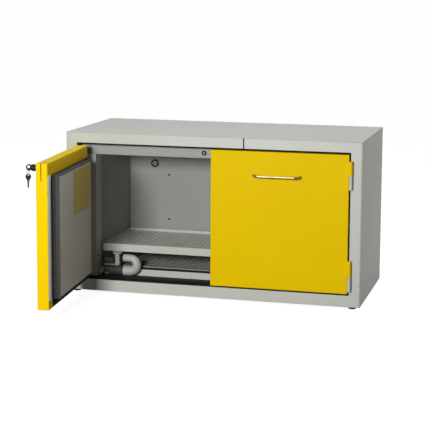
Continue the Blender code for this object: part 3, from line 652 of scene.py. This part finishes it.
def drain_cock():
    """Small bright ring with a stub and two ball ends, in front of the union."""
    corner = low("exhaust_union")
    x, y, z = corner.x + 0.0092, corner.y - 0.0215, corner.z + 0.0040
    stub_aside, stub_up = 0.0035, 0.0062
    shape = bmesh.new()
    lathe(shape, [(0.0044, 0.0), (0.0052, -0.0019), (0.0076, -0.0019), (0.0084, 0.0),
                  (0.0076, 0.0019), (0.0052, 0.0019)],
          facing((x, y, z), (-0.25, -1, 0.1)), sides=28)
    lathe(shape, [(0.0, -0.001), (0.0034, -0.001), (0.0034, 0.0085), (0.0048, 0.0095),
                  (0.0048, 0.0120), (0.0, 0.0120)],
          facing((x + stub_aside, y, z + stub_up), (0, 1, 0.05)), sides=20)
    for aside, up in ((-0.0042, 0.0105), (0.0088, 0.0118)):
        ball = (x + aside, y, z + up)
        lathe(shape, [(0.0, 0.0019), (0.0012, 0.0013), (0.0018, 0.0), (0.0012, -0.0013),
                      (0.0, -0.0019)], facing(ball, (0, 0, 1)), sides=16)
        lathe(shape, [(0.0, 0.0), (0.0009, 0.0), (0.0009, 0.004), (0.0, 0.004)],
              facing(ball, (-aside, 0, -up)), sides=10)
    piece("union_drain_cock", shape, "steel", "cabinet", smooth=50.0)


def screw(shape, place, direction, radius=0.0042, height=0.0018):
    """Adds a pan head with a dimple."""
    brim = height * 0.45
    lathe(shape, [(0.0, brim), (radius * 0.28, brim), (radius * 0.34, height),
                  (radius * 0.72, height * 0.9), (radius * 0.94, brim), (radius, 0.0),
                  (0.0, 0.0)], facing(place, direction), sides=20)


def screws():
    lining = low("lining_rear").y
    shape = bmesh.new()
    for x in (-0.290, 0.0, 0.290):
        for z in (0.379, 0.200):
            screw(shape, (x, lining, z), (0, -1, 0), 0.0038)
    piece("rear_lining_screws", shape, "black", "cabinet")
    seat = high("outer_rear").y - 0.0002
    side = 0.525
    shape = bmesh.new()
    for x in (-side, -0.260, 0.0, 0.260, side):
        for z in (0.020, 0.572):
            screw(shape, (x, seat, z), (0, 1, 0))
    for z in (0.205, 0.390):
        for x in (-side, side):
            screw(shape, (x, seat, z), (0, 1, 0))
    piece("rear_skin_screws", shape, "steel", "cabinet")


# ---------------------------------------------------------------- doors

def door_axes(side):
    """Matrix from a door's own lengths (from the hinge, in depth, up) to the model."""
    joint = next(j for j in frame["joints"] if j["name"] == f"{side}_door_swing")
    origin = Vector((joint["pos_m"][0], joint["pos_m"][1], 0.0))
    reach, swing = (1.0, -LEFT_DOOR_OPEN) if side == "left" else (-1.0, 0.0)
    return (Matrix.Translation(origin) @ Matrix.Rotation(swing, 4, "Z")
            @ Matrix.Diagonal((reach, 1.0, 1.0, 1.0)))


def door_span(node):
    """Limits of a right door node in the door's own lengths, which both doors share."""
    lo, hi = BOX[node]
    return (HINGE_X - hi.x, HINGE_X - lo.x), (lo.y - HINGE_Y, hi.y - HINGE_Y), (lo.z, hi.z)


PANEL_X, PANEL_Y, PANEL_Z = door_span("door_right_inner_panel")
SHELL_X, SHELL_Y, SHELL_Z = door_span("door_right_shell")
DOOR_BACK = SHELL_Y[1]


def panel_hem(side, to):
    """The inner panel's hem wrapped round its edge, coloured near-black as painted shade on its
    turned side.
    """
    face = PANEL_Y[1]
    rim, wrap = 0.0010, 0.0115
    shape = bmesh.new()
    framed(shape, PANEL_X, PANEL_Z,
           [(0.0002, face - wrap), (rim, face - wrap), (rim, face - 0.0022),
            (rim - 0.0006, face - 0.0006), (-0.0006, face + 0.0004), (-0.004, face + 0.0004),
            (-0.004, face - 0.0004), (0.0002, face - 0.0004)], to)
    piece(f"door_{side}_panel_hem", shape, "edging", f"{side}_door")


def bottom_seal(side, to):
    """Ribbed seal on the door's back, below the inner panel."""
    start, end = SHELL_X[0] + 0.020, PANEL_X[1] - 0.004
    bottom, top = SHELL_Z[0] + 0.0035, PANEL_Z[0] - 0.0016
    rib, inset = 0.0012, 0.0005
    shape = bmesh.new()
    slab(shape, (start, end), (DOOR_BACK, DOOR_BACK + 0.0026), (bottom, top), to)
    for part in (0.25, 0.5, 0.75):
        level = bottom + (top - bottom) * part
        slab(shape, (start + inset, end - inset), (DOOR_BACK + 0.002, DOOR_BACK + 0.0032),
             (level - rib, level + rib), to)
    piece(f"door_{side}_bottom_seal", shape, "rubber", f"{side}_door",
          edges=0.0004)


def edge_slit_shade(side, to):
    """Black block set in the slit of the free edge as painted shade inside the slit, and the
    fold's dark line across the top.
    """
    far, top = SHELL_X[1], SHELL_Z[1]
    slit_y = DOOR_FACE + 0.45 * (DOOR_BACK - DOOR_FACE)
    half, depth, length, clear = 0.0014, 0.0145, 0.0597, 0.0003
    shape = bmesh.new()
    # black block filling the slit: painted shade where the slit is in shadow
    slab(shape, (far - depth, far - clear), (slit_y - half, slit_y + half),
         (top - length, top - clear), to)
    start, end = Vector((far - 0.0022, slit_y)), Vector((far - 0.026, DOOR_BACK - 0.0022))
    aside = (end - start).orthogonal().normalized() * 0.0009
    ring = [start - aside, start + aside, end + aside, end - aside]
    lower = [shape.verts.new(to @ Vector((*p, top - clear))) for p in ring]
    upper = [shape.verts.new(to @ Vector((*p, top + 0.0004))) for p in ring]
    shape.faces.new(lower)
    shape.faces.new(upper)
    for i in range(4):
        j = (i + 1) % 4
        shape.faces.new((lower[i], lower[j], upper[j], upper[i]))
    piece(f"door_{side}_edge_slit_shade", shape, "black", f"{side}_door")


def edge_profile(side, to):
    """Pale rounded strip along the back of the free edge."""
    (near, far), _, zs = door_span("door_right_edge_strip")
    steps, crown, sunk = 10, 0.0032, DOOR_BACK - 0.0015
    outline = [(near, sunk)]
    for i in range(steps + 1):
        outline.append((near + (far - near) * (i / steps),
                        DOOR_BACK + crown * math.sin(math.pi * (i / steps))))
    outline.append((far, sunk))
    shape = bmesh.new()
    prism(shape, outline, zs, to @ SWAP_YZ)
    piece(f"door_{side}_edge_profile", shape, "strip", f"{side}_door",
          (f"door_{side}_edge_strip",))


def hinge_caps(side, to):
    """Domed ends of the pins, on the door's two knuckles."""
    shape = bmesh.new()
    for top in (0.168, SHELL_Z[1] - 0.022):
        lathe(shape, [(0.0, 0.0012), (0.0030, 0.0011), (0.0050, 0.0007), (0.0053, 0.0),
                      (0.0, 0.0)], to @ Matrix.Translation((0.0, 0.0, top)), sides=24)
    piece(f"door_{side}_hinge_caps", shape, "steel", f"{side}_door")


def blank_plate():
    """Blank plate on the left door's inner panel, where the real one carries a notice."""
    to = door_axes("left")
    back = PANEL_Y[1]
    xs, zs = (0.080, 0.290), (0.335, 0.487)
    border, corner, seat = 0.004, 0.010, back + 0.0004
    shape = bmesh.new()
    slab(shape, xs, (back, back + 0.0005), zs, to)
    framed(shape, (xs[0] + border, xs[1] - border), (zs[0] + border, zs[1] - border),
           [(0.0, seat), (0.0, back + 0.0008), (0.0012, back + 0.0008), (0.0012, seat)], to)
    for x in (xs[0] + corner, xs[1] - corner):
        for z in (zs[0] + corner, zs[1] - corner):
            lathe(shape, [(0.0, 0.0011), (0.0012, 0.0010), (0.0020, 0.0004), (0.0020, 0.0),
                          (0.0, 0.0)], to @ facing((x, seat, z), (0, 1, 0)), sides=16)
    piece("door_left_blank_plate", shape, "label", "left_door", edges=0.0001)


# ---------------------------------------------------------------- lock and keys

LOCK_X = 0.477                                   # from the left door's hinge
LOCK_Z = (low("lock_plunger").z + high("lock_plunger").z) / 2
LOCK_FRONT = DOOR_FACE - 0.024                   # the push head's front
BLADE_HALF, BOW_HALF = 0.0010, 0.0017            # half thickness of a key's two parts


def lock():
    to = door_axes("left")
    shape = bmesh.new()
    lathe(shape, [(0.0119, -0.0002), (0.0150, -0.0002), (0.0150, 0.0012), (0.0142, 0.0022),
                  (0.0119, 0.0024)],
          to @ facing((LOCK_X, DOOR_FACE, LOCK_Z), (0, -1, 0)), sides=40)
    piece("lock_collar", shape, "black", "left_door")
    shape = bmesh.new()
    lathe(shape, [(0.0066, -0.0004), (0.0066, 0.0008), (0.0072, 0.0012), (0.0096, 0.0010),
                  (0.0104, -0.0004)],
          to @ facing((LOCK_X, LOCK_FRONT, LOCK_Z), (0, -1, 0)), sides=36)
    piece("lock_head_rim", shape, "black", "lock_plunger")


def key():
    """The key in the lock."""
    to = door_axes("left")
    bow_y = LOCK_FRONT - 0.0092
    neck_half = BOW_HALF * 0.8
    shape = bmesh.new()
    holed(shape, oval(bow_y - 0.0006, LOCK_Z + 0.0005, 0.0098, 0.0112),
          oval(bow_y - 0.0014, LOCK_Z + 0.0026, 0.0052, 0.0054),
          (LOCK_X - BOW_HALF, LOCK_X + BOW_HALF), to)
    slab(shape, (LOCK_X - neck_half, LOCK_X + neck_half),
         (LOCK_FRONT - 0.0030, LOCK_FRONT - 0.0009), (LOCK_Z - 0.0042, LOCK_Z + 0.0042), to)
    piece("key_head", shape, "black", "lock_key", edges=0.0004)
    shape = bmesh.new()
    slab(shape, (LOCK_X - BLADE_HALF, LOCK_X + BLADE_HALF),
         (LOCK_FRONT - 0.0020, LOCK_FRONT + 0.0070), (LOCK_Z - 0.0035, LOCK_Z + 0.0035), to)
    piece("key_blade", shape, "steel", "lock_key", ("key",), edges=0.0003)


def spare_key():
    """The second key, hanging from the ring."""
    to = door_axes("left")
    tip, top = low("spare_key").z, high("spare_key").z
    bow_y, bow_z = -0.0287, top - 0.0103
    shape = bmesh.new()
    holed(shape, oval(bow_y, bow_z, 0.0094, 0.0102), oval(bow_y, top - 0.0042, 0.0027, 0.0027),
          (LOCK_X - BOW_HALF, LOCK_X + BOW_HALF), to)
    slab(shape, (LOCK_X - BOW_HALF, LOCK_X + BOW_HALF), (bow_y - 0.0046, bow_y + 0.0046),
         (bow_z - 0.0125, bow_z - 0.0080), to)
    piece("spare_key_head", shape, "black", "spare_key", edges=0.0004)
    blade = [(0.0034, bow_z - 0.0120), (0.0034, tip + 0.0180), (0.0024, tip + 0.0165),
             (0.0030, tip + 0.0145), (0.0018, tip + 0.0125), (0.0027, tip + 0.0105),
             (0.0017, tip + 0.0080), (0.0029, tip + 0.0058), (0.0020, tip + 0.0030),
             (0.0, tip), (-0.0029, tip + 0.0022), (-0.0034, bow_z - 0.0120)]
    shape = bmesh.new()
    prism(shape, [(y + bow_y, z) for y, z in blade], (LOCK_X - BLADE_HALF, LOCK_X + BLADE_HALF),
          to @ SWAP_XY)
    piece("spare_key_blade", shape, "dark_steel", "spare_key", ("spare_key",),
          edges=0.0002)


add_camera()
world()
lights()
pale_floor()
dress_nodes()
for make in (front_frame, gasket, shelf, sump_insert, tray_rim, vent, exhaust, drain_cock,
             screws):
    make()
for door_side in ("left", "right"):
    for make in (panel_hem, bottom_seal, edge_slit_shade, edge_profile, hinge_caps):
        make(door_side, door_axes(door_side))
for make in (blank_plate, lock, key, spare_key):
    make()
